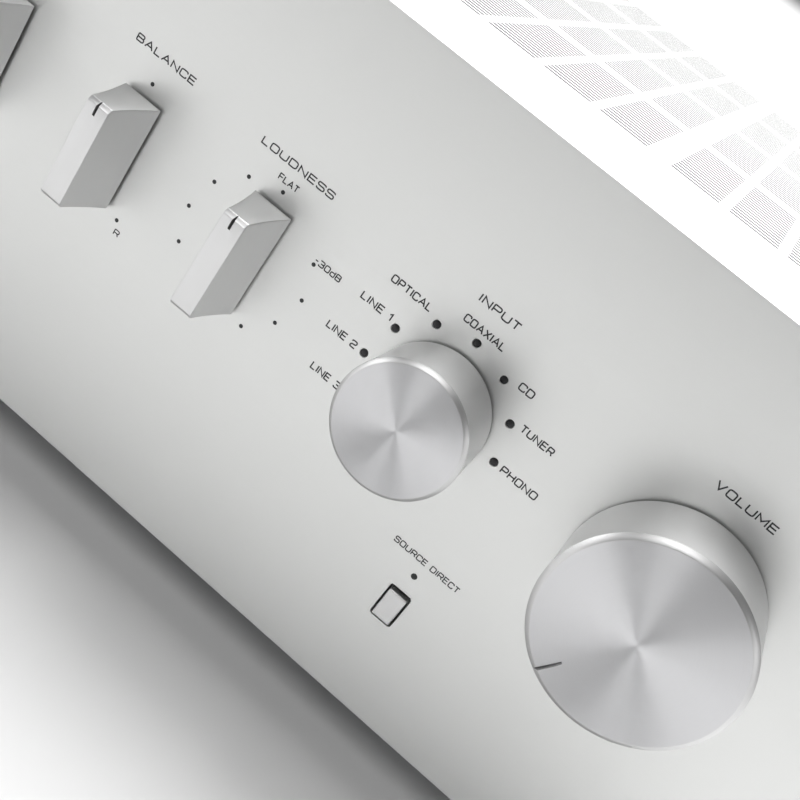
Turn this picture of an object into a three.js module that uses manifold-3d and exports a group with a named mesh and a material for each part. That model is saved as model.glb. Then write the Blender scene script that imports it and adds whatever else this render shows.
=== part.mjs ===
// Stereo integrated amplifier, in millimetres. +X is right seen from the front, +Y runs to the rear
// and +Z is up. The origin is on the surface it stands on, under the middle of its whole length.
import * as THREE from "three";
import { mergeVertices } from "three/addons/utils/BufferGeometryUtils.js";
import Module from "manifold-3d";

const wasm = await Module();
wasm.setup();

// ---- driving dimensions ----
const panelWidth = 435;
const panelHeight = 134.9;
const panelThickness = 8;
const panelChamfer = 0.6;
const footHeight = 16.1;
const bodyDepth = 341.6; // front face of the panel to the back of the rear panel
const knobReach = 21.9; // volume knob's face, ahead of the panel
const terminalReach = 23.5; // binding posts, behind the rear panel
const sheet = 1.2; // steel sheet of the case
const gap = 0.3; // clearance between seated pieces
const coverInset = 2; // the cover's sides stand in from the panel's ends
const coverDrop = 0.8; // the cover's top lies under the panel's top edge

// vent fields punched in the cover
const ventWidth = 13.95;
const ventPitch = 16.84;
const ventDepth = 53.2;
const ventRowPitch = 65.2;
const ventRows = 4;
const ventSetback = 54.3; // first row, behind the panel's front
const ventMiddleColumns = 12;
const ventSideColumns = 6;
const ventGroupGap = 7.1;

// controls on the panel
const controlHeight = 72.8; // knob axes above the panel's bottom edge
const lowerHeight = 29.1; // buttons and jack above the panel's bottom edge
const loudnessX = 49.8;
const tonePitch = 37.66;
const toneNames = ["bass", "treble", "balance", "loudness"];
const inputX = 102.2;
const volumeX = 164.4;
const directX = 122.6;
const speakersX = -113;
const phonesX = -150;
const powerX = -187;
const knobStandoff = 0.9; // knobs' back, ahead of the panel
const pointerAtMinimum = -149; // volume pointer, degrees clockwise from straight up

const volumeRadius = 22.6;
const volumeBackRadius = 22.0;
const inputRadius = 15.05;
const inputBackRadius = 14.5;
const inputReach = 18.8;
const knobBevel = 0.9;
const knobWall = 2.4;
const knobWeb = 4;
const hubRadius = 6;
const toneFaceWidth = 5.6;
const toneFaceLength = 25;
const toneBaseWidth = 10.3;
const toneBaseLength = 26.6;
const toneReach = 16.7;
const toneScoop = 0.7; // how far the knob's sides are hollowed
const speakersRadius = 9;
const speakersReach = 14;

const shaftRadius = 3;
const bushRadius = 3.8;
const controlDepth = 12; // potentiometer bodies
const controlSide = 20;
const volumeSide = 28;
const boardThickness = 1.6;

const directWidth = 4.85;
const directHeight = 8;
const directReach = 1;
const directTravel = 1.5;
const powerWidth = 16;
const powerHeight = 9;
const powerReach = 1.6;
const powerTravel = 2.5;
const buttonSideGap = 0.5;
const buttonTopGap = 0.8;
const stemSide = 3.4;

const ledRing = 18.1;
const ledRadius = 0.95;
const ledStep = 30; // degrees between input positions
const ledCount = 8;
const ledFirst = 90; // the first position, degrees clockwise from straight up
const ledAboveDirect = 9.8;
const ledRecess = 1; // the single indicator over the small button
const guidePocket = 3.3;

// ---- places that follow from them ----
const wholeDepth = knobReach + bodyDepth + terminalReach;
const panelFront = knobReach - wholeDepth / 2;
const panelBack = panelFront + panelThickness;
const rearFace = panelFront + bodyDepth;
const panelTop = footHeight + panelHeight;
const coverTop = panelTop - coverDrop;
const coverHalf = panelWidth / 2 - coverInset;
const insideHalf = coverHalf - sheet - gap;
const trayTop = footHeight + sheet;
const insideTop = coverTop - sheet - gap;
const subFront = panelBack + gap;
const subBack = subFront + sheet;
const controlFront = subBack + gap;
const controlBack = controlFront + controlDepth;
const boardFront = controlBack + gap;
const boardBack = boardFront + boardThickness;
const rearInside = rearFace - sheet;
const controlZ = footHeight + controlHeight;
const lowerZ = footHeight + lowerHeight;
const knobBack = panelFront - knobStandoff;

// ---- solids ----
function solid(geometry) {
  const plain = geometry.index ? geometry.toNonIndexed() : geometry;
  const bare = new THREE.BufferGeometry().setAttribute("position", plain.getAttribute("position"));
  const merged = mergeVertices(bare, 1e-4);
  return new wasm.Manifold(
    new wasm.Mesh({
      numProp: 3,
      vertProperties: merged.attributes.position.array,
      triVerts: new Uint32Array(merged.index.array),
    }),
  );
}

function block([x0, x1], [y0, y1], [z0, z1]) {
  const g = new THREE.BoxGeometry(x1 - x0, y1 - y0, z1 - z0);
  return solid(g.translate((x0 + x1) / 2, (y0 + y1) / 2, (z0 + z1) / 2));
}

function around(centre, width) {
  return [centre - width / 2, centre + width / 2];
}

// a cylinder along Y
function rod(radius, [y0, y1], x, z, sides = 20) {
  const g = new THREE.CylinderGeometry(radius, radius, y1 - y0, sides);
  return solid(g.translate(x, (y0 + y1) / 2, z));
}

// a cylinder along Z
function post(radius, [z0, z1], x, y, sides = 20) {
  const g = new THREE.CylinderGeometry(radius, radius, z1 - z0, sides).rotateX(Math.PI / 2);
  return solid(g.translate(x, y, (z0 + z1) / 2));
}

// a turned piece about the Y axis; its profile runs [radius, y] and closes on itself or on the axis
function turned(profile, x, z, sides = 40) {
  const points = profile.map(([r, y]) => new THREE.Vector2(r, y));
  const first = points[0];
  const last = points[points.length - 1];
  if (!first.equals(last) && (first.x > 0 || last.x > 0)) points.push(first.clone());
  const made = solid(new THREE.LatheGeometry(points, sides).translate(x, 0, z));
  return made.volume() < 0 ? turned([...profile].reverse(), x, z, sides) : made;
}

function cut(body, ...tools) {
  return tools.reduce((left, tool) => left.subtract(tool), body);
}

function join(...bodies) {
  return bodies.reduce((all, body) => all.add(body));
}

function onCircle(x, z, radius, degrees) {
  const a = THREE.MathUtils.degToRad(degrees);
  return [x + radius * Math.sin(a), z + radius * Math.cos(a)];
}

const colours = {
  aluminium: [0xc9cbc8, 0.38, 0.9],
  steel: [0x9a9d9e, 0.5, 0.8],
  silver_paint: [0xdcdddb, 0.5, 0.2],
  black_plastic: [0x1b1c1d, 0.55, 0],
  dark_lens: [0x101113, 0.2, 0],
  board: [0x1f4d33, 0.6, 0],
  brass: [0xc2a24a, 0.35, 0.9],
  copper: [0xa85f35, 0.5, 0.5],
  iron: [0x5b5c5e, 0.7, 0.6],
};
const materials = Object.fromEntries(
  Object.entries(colours).map(([name, [color, roughness, metalness]]) => [
    name,
    new THREE.MeshStandardMaterial({ name, color, roughness, metalness }),
  ]),
);

const amplifier = new THREE.Group();
function add(name, body, material) {
  const made = body.getMesh();
  const geometry = new THREE.BufferGeometry()
    .setAttribute("position", new THREE.BufferAttribute(made.vertProperties, 3))
    .setIndex(new THREE.BufferAttribute(made.triVerts, 1));
  geometry.computeVertexNormals();
  const mesh = new THREE.Mesh(geometry, materials[material]);
  mesh.name = name;
  amplifier.add(mesh);
}

const tones = toneNames.map((name, i) => ({
  name,
  x: loudnessX - tonePitch * (toneNames.length - 1 - i),
}));
const rotaries = [
  ...tones.map(({ name, x }) => ({ name, x, z: controlZ, side: controlSide })),
  { name: "input", x: inputX, z: controlZ, side: controlSide },
  { name: "volume", x: volumeX, z: controlZ, side: volumeSide },
  { name: "speakers", x: speakersX, z: lowerZ, side: controlSide },
];
const buttons = [
  {
    name: "pure_direct",
    x: directX,
    size: [directWidth, directHeight],
    reach: directReach,
    travel: directTravel,
    switchSide: 12,
  },
  {
    name: "power",
    x: powerX,
    size: [powerWidth, powerHeight],
    reach: powerReach,
    travel: powerTravel,
    switchSide: 18,
  },
];
const jackRadius = 5.5;
const jackBore = 3.25;
const jackDepth = 30;
const directLedZ = lowerZ + ledAboveDirect;

// ---- case ----
function frontPanel() {
  const outline = new THREE.Shape([
    new THREE.Vector2(panelBack, footHeight),
    new THREE.Vector2(panelFront + panelChamfer, footHeight),
    new THREE.Vector2(panelFront, footHeight + panelChamfer),
    new THREE.Vector2(panelFront, panelTop - panelChamfer),
    new THREE.Vector2(panelFront + panelChamfer, panelTop),
    new THREE.Vector2(panelBack, panelTop),
  ]);
  const g = new THREE.ExtrudeGeometry(outline, { depth: panelWidth, bevelEnabled: false });
  // the outline's own axes are Y and Z, and its depth runs along X
  const turn = new THREE.Matrix4().set(0, 0, 1, -panelWidth / 2, 1, 0, 0, 0, 0, 1, 0, 0, 0, 0, 0, 1);
  const plate = solid(g.applyMatrix4(turn));
  const through = [panelFront - 1, panelBack + 1];
  const tools = rotaries.map(({ x, z }) => rod(bushRadius + gap, through, x, z));
  for (const { x, size } of buttons)
    tools.push(
      block(around(x, size[0] + 2 * buttonSideGap), through, around(lowerZ, size[1] + 2 * buttonTopGap)),
    );
  tools.push(rod(jackRadius + gap, through, phonesX, lowerZ));
  for (const [x, z] of ledPlaces()) tools.push(rod(ledRadius, through, x, z, 12));
  tools.push(rod(ledRadius, [panelFront - 1, panelFront + ledRecess], directX, directLedZ, 12));
  const pocket = [panelBack - guidePocket, panelBack + 1];
  tools.push(
    rod(ledRing + 3, pocket, inputX, controlZ, 32).subtract(rod(ledRing - 3, pocket, inputX, controlZ, 32)),
  );
  return cut(plate, ...tools);
}

function ledPlaces() {
  return Array.from({ length: ledCount }, (_, i) =>
    onCircle(inputX, controlZ, ledRing, ledFirst - ledStep * i),
  );
}

// clear pins that carry the indicator light to the panel's face, on a ring behind it
function inputLightGuide() {
  const ring = [panelBack - guidePocket + gap, panelBack];
  const pin = [panelFront + 0.1, panelBack - 1];
  const body = rod(ledRing + 2.7, ring, inputX, controlZ, 32).subtract(
    rod(ledRing - 2.7, [ring[0] - 1, ring[1] + 1], inputX, controlZ, 32),
  );
  return join(body, ...ledPlaces().map(([x, z]) => rod(ledRadius - 0.2, pin, x, z, 12)));
}

function subPanel() {
  const plate = block(around(0, 2 * insideHalf), [subFront, subBack], [trayTop + gap, insideTop]);
  const through = [subFront - 1, subBack + 1];
  const tools = rotaries.map(({ x, z }) => rod(bushRadius + gap, through, x, z));
  for (const { x } of buttons)
    tools.push(block(around(x, stemSide + 2 * gap), through, around(lowerZ, stemSide + 2 * gap)));
  tools.push(rod(jackRadius + gap, through, phonesX, lowerZ));
  return cut(plate, ...tools);
}

function ventColumns() {
  const middleStart = -(ventMiddleColumns * ventPitch - (ventPitch - ventWidth)) / 2;
  const columns = Array.from({ length: ventMiddleColumns }, (_, i) => middleStart + i * ventPitch);
  const sideStart = -middleStart + ventGroupGap;
  for (let i = 0; i < ventSideColumns; i++) {
    const left = sideStart + i * ventPitch;
    columns.push(left, -left - ventWidth);
  }
  return columns;
}

function topCover() {
  const along = [subFront, rearFace];
  const shell = cut(
    block(around(0, 2 * coverHalf), along, [footHeight + gap, coverTop]),
    block(around(0, 2 * (coverHalf - sheet)), [along[0] - 1, along[1] + 1], [0, coverTop - sheet]),
  );
  const vents = [];
  for (const x of ventColumns())
    for (let row = 0; row < ventRows; row++) {
      const y = panelFront + ventSetback + row * ventRowPitch;
      vents.push(block([x, x + ventWidth], [y, y + ventDepth], [coverTop - sheet - 1, coverTop + 1]));
    }
  return cut(shell, ...vents);
}

const trayWall = 14; // height of the tray's side flanges
const boardRise = 9; // main board's underside above the tray
const mainBoardFrontRoom = 27.9; // behind the control board
const mainBoardRearRoom = 18.8; // ahead of the rear panel
const mainBoard = { x: [-30, 205], y: [boardBack + mainBoardFrontRoom, rearInside - mainBoardRearRoom] };
const mainBoardTop = trayTop + boardRise + boardThickness;

function chassisTray() {
  const along = [subFront, rearInside - gap];
  const floor = block(around(0, 2 * insideHalf), along, [footHeight, trayTop]);
  const behind = [subBack + gap, along[1]];
  const wall = (x) => block([x, x + sheet], behind, [footHeight, trayTop + trayWall]);
  const posts = [];
  for (const x of [mainBoard.x[0] + 6, mainBoard.x[1] - 6])
    for (const y of [mainBoard.y[0] + 6, mainBoard.y[1] - 6])
      posts.push(post(3, [trayTop - 0.5, trayTop + boardRise - gap], x, y, 10));
  return join(floor, wall(-insideHalf), wall(insideHalf - sheet), ...posts);
}

function foot(x, y) {
  const profile = [
    [0, 0],
    [18, 0],
    [19, 1],
    [21, footHeight - gap],
    [0, footHeight - gap],
  ];
  const points = profile.map(([r, z]) => new THREE.Vector2(r, z));
  return solid(new THREE.LatheGeometry(points, 24).rotateX(Math.PI / 2).translate(x, y, 0));
}

// ---- knobs, shafts and what they turn ----
function roundKnob(x, z, faceRadius, backRadius, reach, sides) {
  const face = panelFront - reach;
  const hubBack = knobBack - 0.4;
  return turned(
    [
      [0, face],
      [faceRadius - knobBevel, face],
      [faceRadius, face + knobBevel],
      [backRadius, knobBack],
      [backRadius - knobWall, knobBack],
      [backRadius - knobWall, face + knobWeb],
      [hubRadius, face + knobWeb],
      [hubRadius, hubBack],
      [shaftRadius + gap, hubBack],
      [shaftRadius + gap, face + knobWeb],
      [0, face + knobWeb],
    ],
    x,
    z,
    sides,
  );
}

// a groove across the edge of a knob's face, pointing at the knob's setting
function pointerCut(x, z, reach, from, to, width, depth, degrees) {
  const g = new THREE.BoxGeometry(width, depth * 2, to - from)
    .translate(0, 0, (from + to) / 2)
    .rotateY(THREE.MathUtils.degToRad(degrees))
    .translate(x, panelFront - reach, z);
  return solid(g);
}

function volumeKnob() {
  const body = roundKnob(volumeX, controlZ, volumeRadius, volumeBackRadius, knobReach, 48);
  return cut(body, pointerCut(volumeX, controlZ, knobReach, 15.9, 24, 0.8, 0.6, pointerAtMinimum));
}

// a blade grip: narrow face, hollowed flanks that flare to a wider base, and a blind bore for its shaft
function toneKnob(x) {
  const face = panelFront - toneReach;
  const half = [toneFaceWidth / 2, toneBaseWidth / 2];
  const middle = (half[0] + half[1]) / 2 - toneScoop;
  const outline = new THREE.Shape();
  outline.moveTo(-half[0], face);
  outline.quadraticCurveTo(-middle, (face + knobBack) / 2, -half[1], knobBack);
  outline.lineTo(half[1], knobBack);
  outline.quadraticCurveTo(middle, (face + knobBack) / 2, half[0], face);
  const g = new THREE.ExtrudeGeometry(outline, {
    depth: toneBaseLength,
    bevelEnabled: false,
    curveSegments: 5,
  });
  const grip = solid(g.translate(0, 0, -toneBaseLength / 2));
  // the ends lean in towards the face
  const slope = (toneBaseLength - toneFaceLength) / 2 / (knobBack - face);
  const ends = [1, -1].map((side) => {
    const angle = side * Math.atan(slope);
    const tool = new THREE.BoxGeometry(30, 60, 10)
      .translate(0, 0, side * 5)
      .rotateX(angle)
      .translate(0, face, (side * toneFaceLength) / 2);
    return solid(tool);
  });
  const bore = rod(shaftRadius, [knobBack - 10, knobBack + 1], 0, 0, 16);
  const pointer = solid(
    new THREE.BoxGeometry(0.9, 1.6, 3.4).rotateX(0.5).translate(0, face, toneFaceLength / 2 - 0.6),
  );
  return cut(grip, ...ends, bore, pointer).translate([x, 0, controlZ]);
}

function shaft(x, z, tip) {
  return rod(shaftRadius - gap, [tip, controlFront + 7], x, z, 16);
}

function rotaryBody({ x, z, side }) {
  const body = block(around(x, side), [controlFront, controlBack], around(z, side));
  const bush = rod(bushRadius, [panelBack - 3, controlFront + 1], x, z);
  const bore = rod(shaftRadius, [panelBack - 4, controlFront + 7.5], x, z, 16);
  return body.add(bush).subtract(bore);
}

const stemEnd = controlFront + 6;

function button({ x, size, reach, travel }) {
  const cap = block(around(x, size[0]), [panelFront - reach, panelBack - travel - 0.8], around(lowerZ, size[1]));
  return cap.add(block(around(x, stemSide), [panelBack - travel - 2, stemEnd], around(lowerZ, stemSide)));
}

function buttonSwitch({ x, switchSide, travel }) {
  const body = block(around(x, switchSide), [controlFront, controlBack], around(lowerZ, switchSide));
  const room = stemSide + 2 * gap;
  return body.subtract(block(around(x, room), [controlFront - 1, stemEnd + travel + gap], around(lowerZ, room)));
}

function phonesJack() {
  const body = block(around(phonesX, 16), [controlFront, controlFront + 24], around(lowerZ, 16));
  const barrel = rod(jackRadius, [panelFront - 0.8, controlFront + 1], phonesX, lowerZ, 24);
  const bore = rod(jackBore, [panelFront - 2, panelFront + jackDepth], phonesX, lowerZ, 24);
  return body.add(barrel).subtract(bore);
}

function controlBoard() {
  const reach = volumeSide / 2 + 4;
  const left = tones[0].x - controlSide / 2 - 4;
  return block([left, volumeX + reach], [boardFront, boardBack], [lowerZ - 10, controlZ + reach]);
}

// ---- inside ----
const sinkX = 20;
const sinkY = [-50, 120];
const sinkHeight = 88;
const sinkReach = 40;
const finCount = 9;
const finThickness = 1.8;
const spine = 5;

function heatSink() {
  const z0 = mainBoardTop + gap;
  const body = block([sinkX, sinkX + spine], sinkY, [z0, z0 + sinkHeight]);
  const pitch = (sinkHeight - finThickness) / (finCount - 1);
  const fins = Array.from({ length: finCount }, (_, i) =>
    block([sinkX + spine - 0.5, sinkX + sinkReach], sinkY, [z0 + i * pitch, z0 + i * pitch + finThickness]),
  );
  return join(body, ...fins);
}

function outputTransistor(y) {
  return block([sinkX - gap - 5, sinkX - gap], around(y, 20), [mainBoardTop + 30, mainBoardTop + 56]);
}

function filterCapacitor(x, y) {
  return post(17.5, [mainBoardTop + gap, mainBoardTop + gap + 52], x, y, 24);
}

const coreWidth = 100;
const coreHeight = 84;
const coreStack = 44;
const limb = 34;
const windowWidth = (coreWidth - 2 * limb) / 2;
const coreX = -125;
const coreY = -20;
const windingSpread = 16;

function transformerCore() {
  const z0 = trayTop + gap;
  const stack = around(coreY, coreStack);
  const body = block(around(coreX, coreWidth), stack, [z0, z0 + coreHeight]);
  const windows = [-1, 1].map((side) =>
    block(
      around(coreX + side * (limb / 2 + windowWidth / 2), windowWidth),
      [stack[0] - 1, stack[1] + 1],
      [z0 + limb / 2, z0 + coreHeight - limb / 2],
    ),
  );
  return cut(body, ...windows);
}

function transformerWinding() {
  const z = [trayTop + limb / 2 + 2 * gap, trayTop + coreHeight - limb / 2];
  const outer = block(
    around(coreX, limb + 2 * windowWidth - 2 * gap),
    around(coreY, coreStack + 2 * windingSpread),
    z,
  );
  return outer.subtract(block(around(coreX, limb + 2 * gap), around(coreY, coreStack + 2 * gap), [0, 200]));
}

// ---- rear panel and what sits in it ----
const rcaRadius = 4.15;
const rcaBore = 1.7;
const rcaReach = 9;
const rcaPitchX = 18;
const rcaPitchZ = 17;
const blockFlange = 3;
const blockFace = 0.8;
const rcaBlocks = [
  { name: "source_jacks", x: 160, z: 96, columns: 4, rows: 2 },
  { name: "record_jacks", x: 75, z: 96, columns: 3, rows: 2 },
];
const digital = { x: 150, z: 52, width: 44, height: 18 };
const opticalSide = 9;
const speakerX = -48;
const speakerZ = 88;
const speakerPitchX = 19;
const speakerPitchZ = 40;
const studRadius = 2.6;
const capRadius = 7;
const capLength = 17;
const inletX = -185;
const inletZ = 60;
const inletHollow = { width: 24, height: 16, depth: 17 };
const inletWall = 2;
const bladeX = 7;
const groundX = 205;
const groundZ = 52;

function rcaSize({ columns, rows }) {
  return [(columns - 1) * rcaPitchX + 14, (rows - 1) * rcaPitchZ + 14];
}

function speakerSize() {
  return [3 * speakerPitchX + 18, speakerPitchZ + 20];
}

function socketBody(x, z, width, height, depth) {
  const flange = block(
    around(x, width + 2 * blockFlange),
    [rearInside - gap - depth, rearInside - gap],
    around(z, height + 2 * blockFlange),
  );
  return flange.add(block(around(x, width), [rearInside - gap - 1, rearFace + blockFace], around(z, height)));
}

function rcaBarrel(x, z) {
  return rod(rcaRadius, [rearFace, rearFace + rcaReach], x, z, 16);
}

function rcaHole(x, z) {
  return rod(rcaBore, [rearFace - 2, rearFace + rcaReach + 1], x, z, 10);
}

function rcaBlock(spec) {
  const [width, height] = rcaSize(spec);
  const places = [];
  for (let i = 0; i < spec.columns; i++)
    for (let j = 0; j < spec.rows; j++)
      places.push([
        spec.x + (i - (spec.columns - 1) / 2) * rcaPitchX,
        spec.z + (j - (spec.rows - 1) / 2) * rcaPitchZ,
      ]);
  const body = join(
    socketBody(spec.x, spec.z, width, height, 10),
    ...places.map(([x, z]) => rcaBarrel(x, z)),
  );
  return cut(body, ...places.map(([x, z]) => rcaHole(x, z)));
}

function digitalBlock() {
  const { x, z, width, height } = digital;
  const coax = x - 12;
  const optical = x + 10;
  const body = socketBody(x, z, width, height, 14).add(rcaBarrel(coax, z));
  const port = block(around(optical, opticalSide), [rearFace - 8, rearFace + 5], around(z, opticalSide));
  return cut(body, rcaHole(coax, z), port);
}

function speakerPlaces() {
  const places = [];
  for (const [row, z] of [speakerZ + speakerPitchZ / 2, speakerZ - speakerPitchZ / 2].entries())
    for (let i = 0; i < 4; i++)
      places.push({ name: `${"ab"[row]}${i + 1}`, x: speakerX + (i - 1.5) * speakerPitchX, z });
  return places;
}

function speakerTerminals() {
  const [width, height] = speakerSize();
  const body = socketBody(speakerX, speakerZ, width, height, 8);
  const studs = speakerPlaces().map(({ x, z }) => rod(studRadius, [rearFace, rearFace + terminalReach - 2], x, z, 12));
  return join(body, ...studs);
}

function terminalCap({ x, z }) {
  const back = rearFace + terminalReach;
  const bore = studRadius + gap;
  return turned(
    [
      [bore, back],
      [capRadius - 1, back],
      [capRadius, back - 1.5],
      [capRadius, back - capLength + 1],
      [capRadius - 1.2, back - capLength],
      [bore, back - capLength],
    ],
    x,
    z,
    12,
  );
}

function acInlet() {
  const { width, height, depth } = inletHollow;
  const outer = [width + 2 * inletWall, height + 2 * inletWall];
  const mouth = rearFace + 4;
  const body = socketBody(inletX, inletZ, ...outer, 16).add(
    block(around(inletX, outer[0]), [rearFace, mouth], around(inletZ, outer[1])),
  );
  const hollow = block(around(inletX, width), [mouth - depth, mouth + 1], around(inletZ, height));
  const blades = [-bladeX, bladeX].map((dx) =>
    block(around(inletX + dx, 2), [mouth - depth - 1, mouth - 2], around(inletZ, 5)),
  );
  return join(cut(body, hollow), ...blades);
}

const groundShank = 2;

function groundScrew() {
  const head = rod(5.5, [rearFace + gap, rearFace + 9], groundX, groundZ, 14);
  return head.add(rod(groundShank, [rearInside - 6, rearFace + 1], groundX, groundZ, 14));
}

function rearPanel() {
  const plate = block(around(0, 2 * insideHalf), [rearInside, rearFace], [trayTop + gap, insideTop]);
  const through = [rearInside - 1, rearFace + 1];
  const opening = (x, z, width, height) =>
    block(around(x, width + 2 * gap), through, around(z, height + 2 * gap));
  const inletOuter = [inletHollow.width + 2 * inletWall, inletHollow.height + 2 * inletWall];
  return cut(
    plate,
    ...rcaBlocks.map((spec) => opening(spec.x, spec.z, ...rcaSize(spec))),
    opening(digital.x, digital.z, digital.width, digital.height),
    opening(speakerX, speakerZ, ...speakerSize()),
    opening(inletX, inletZ, ...inletOuter),
    rod(groundShank + gap, through, groundX, groundZ, 14),
  );
}

// ---- the assembly ----
add("front_panel", frontPanel(), "aluminium");
add("sub_panel", subPanel(), "steel");
add("top_cover", topCover(), "silver_paint");
add("chassis_tray", chassisTray(), "steel");
add("rear_panel", rearPanel(), "steel");
const footX = 165;
const footY = [-128, 128];
for (const [side, x] of [["left", -footX], ["right", footX]])
  for (const [end, y] of [["front", footY[0]], ["rear", footY[1]]])
    add(`foot_${end}_${side}`, foot(x, y), "black_plastic");

add("input_light_guide", inputLightGuide(), "dark_lens");

for (const { name, x } of tones) add(`${name}_knob`, toneKnob(x), "aluminium");
add("input_knob", roundKnob(inputX, controlZ, inputRadius, inputBackRadius, inputReach, 40), "aluminium");
add("volume_knob", volumeKnob(), "aluminium");
add("speakers_knob", speakersKnob(), "aluminium");

function speakersKnob() {
  const body = roundKnob(speakersX, lowerZ, speakersRadius, speakersRadius - 0.3, speakersReach, 32);
  return cut(body, pointerCut(speakersX, lowerZ, speakersReach, 5, 10, 0.8, 0.5, -45));
}

const shaftTip = {
  input: panelFront - inputReach + knobWeb + gap,
  volume: panelFront - knobReach + knobWeb + gap,
  speakers: panelFront - speakersReach + knobWeb + gap,
};
for (const rotary of rotaries) {
  const tip = shaftTip[rotary.name] ?? knobBack - 10 + gap;
  add(`${rotary.name}_shaft`, shaft(rotary.x, rotary.z, tip), "steel");
  add(`${rotary.name}_control`, rotaryBody(rotary), "steel");
}
for (const spec of buttons) {
  add(`${spec.name}_button`, button(spec), "aluminium");
  add(`${spec.name}_switch`, buttonSwitch(spec), "black_plastic");
}
add("phones_jack", phonesJack(), "black_plastic");
add("control_board", controlBoard(), "board");
add(
  "volume_motor",
  rod(12, [boardBack + gap, boardBack + gap + 32], volumeX, controlZ, 20),
  "steel",
);

add("main_board", block(mainBoard.x, mainBoard.y, [trayTop + boardRise, mainBoardTop]), "board");
add("heat_sink", heatSink(), "aluminium");
add("output_transistor_left", outputTransistor(0), "black_plastic");
add("output_transistor_right", outputTransistor(70), "black_plastic");
add("filter_capacitor_left", filterCapacitor(95, -15), "black_plastic");
add("filter_capacitor_right", filterCapacitor(95, 30), "black_plastic");
add("transformer_core", transformerCore(), "iron");
add("transformer_winding", transformerWinding(), "copper");

for (const spec of rcaBlocks) add(spec.name, rcaBlock(spec), "black_plastic");
add("digital_jacks", digitalBlock(), "black_plastic");
add("speaker_terminals", speakerTerminals(), "black_plastic");
for (const place of speakerPlaces()) add(`speaker_cap_${place.name}`, terminalCap(place), "brass");
add("ac_inlet", acInlet(), "black_plastic");
add("ground_screw", groundScrew(), "brass");

export default amplifier;
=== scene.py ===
import math

import bmesh
import bpy
from mathutils import Matrix, Vector


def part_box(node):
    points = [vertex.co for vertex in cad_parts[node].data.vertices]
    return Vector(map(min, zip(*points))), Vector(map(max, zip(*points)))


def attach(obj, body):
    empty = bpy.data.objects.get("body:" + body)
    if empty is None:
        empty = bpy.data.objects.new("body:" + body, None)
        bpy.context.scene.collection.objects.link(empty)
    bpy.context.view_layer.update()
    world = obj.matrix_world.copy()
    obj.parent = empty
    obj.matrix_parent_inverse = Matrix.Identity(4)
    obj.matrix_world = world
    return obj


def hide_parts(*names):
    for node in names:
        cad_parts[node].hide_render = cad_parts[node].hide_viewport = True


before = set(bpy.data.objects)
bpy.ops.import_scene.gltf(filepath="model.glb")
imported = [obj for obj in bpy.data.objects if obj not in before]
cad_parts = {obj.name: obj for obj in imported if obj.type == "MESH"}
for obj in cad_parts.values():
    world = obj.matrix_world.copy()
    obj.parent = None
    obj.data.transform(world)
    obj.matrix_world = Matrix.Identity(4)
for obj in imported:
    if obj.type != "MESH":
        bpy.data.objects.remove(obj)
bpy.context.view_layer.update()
MM = 0.001
FRONT, REAR, UP = Vector((0, -1, 0)), Vector((0, 1, 0)), Vector((0, 0, 1))

# ---- camera: front-right, above, rolled about its own line of sight ----
CAMERA_AT = Vector((0.13004, -0.41307, 0.20007))
AZIMUTH, ELEVATION, ROLL = (math.radians(v) for v in (7.924, 25.099, 36.753))
LENS = 56.66
WORLD_LIGHT = 0.07

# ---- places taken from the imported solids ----
PANEL_LOW, PANEL_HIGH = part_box("front_panel")
PANEL_FACE = PANEL_LOW.y
COVER_LOW, COVER_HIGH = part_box("top_cover")
REAR_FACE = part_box("rear_panel")[1].y
TONES = ("bass", "treble", "balance", "loudness")
ROTARIES = (*TONES, "input", "volume", "speakers")
BUTTONS = ("power", "pure_direct")
FEET = ("foot_front_left", "foot_front_right", "foot_rear_left", "foot_rear_right")


def centre(node):
    low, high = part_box(node)
    return (low + high) / 2


KNOB_AT = {name: centre(f"{name}_shaft") for name in ROTARIES}
BUTTON_AT = {name: centre(f"{name}_button") for name in BUTTONS}
JACK_AT = centre("phones_jack")

LED_RING = 18.1 * MM
LED_RADIUS = 0.88 * MM
LED_ANGLES = [90 - 30 * i for i in range(8)]
TONE_RING = 16.5 * MM
DOT_RADIUS = 0.5 * MM
DIRECT_LED = Vector((BUTTON_AT["pure_direct"].x, PANEL_FACE, BUTTON_AT["pure_direct"].z + 9.8 * MM))
SLOT_ROWS, SLOTS_PER_BLOCK = 4, 17
SLOT_WIDTH = 1.3 * MM
BLOCK_WIDTH, BLOCK_PITCH, GROUP_GAP = 13.95 * MM, 16.84 * MM, 7.1 * MM
BLOCK_DEPTH, ROW_PITCH, ROW_SETBACK = 53.2 * MM, 65.2 * MM, 54.3 * MM
MIDDLE_BLOCKS, SIDE_BLOCKS = 12, 6
SHEET = 1.0 * MM


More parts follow.
